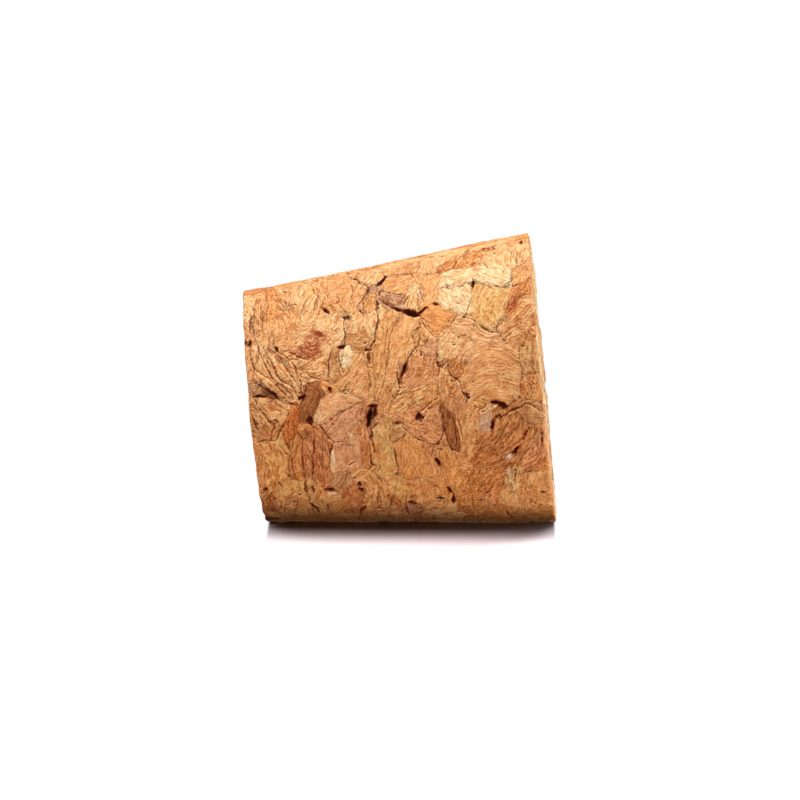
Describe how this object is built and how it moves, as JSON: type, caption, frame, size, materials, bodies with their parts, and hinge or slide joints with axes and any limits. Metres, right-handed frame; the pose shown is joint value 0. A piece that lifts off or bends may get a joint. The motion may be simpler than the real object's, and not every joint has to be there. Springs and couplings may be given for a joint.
{
  "type": "tapered cork stopper",
  "caption": "Tapered plug of ground agglomerated cork, with open voids between its coarse granules and slightly worn rims.",
  "frame": {"origin": "centre of the small end face, which the stopper stands on", "axes": "+Z along the axis from the small end to the large end; +X faces the viewer of the stopper's front"},
  "size_m": [0.025, 0.025, 0.025],
  "materials": {
    "cork": "ground agglomerated cork, matt, granules of 2 to 6 mm in cream, tan and red-brown with thin dark glue lines"
  },
  "bodies": {
    "root": {"stopper": "cork"}
  },
  "joints": []
}
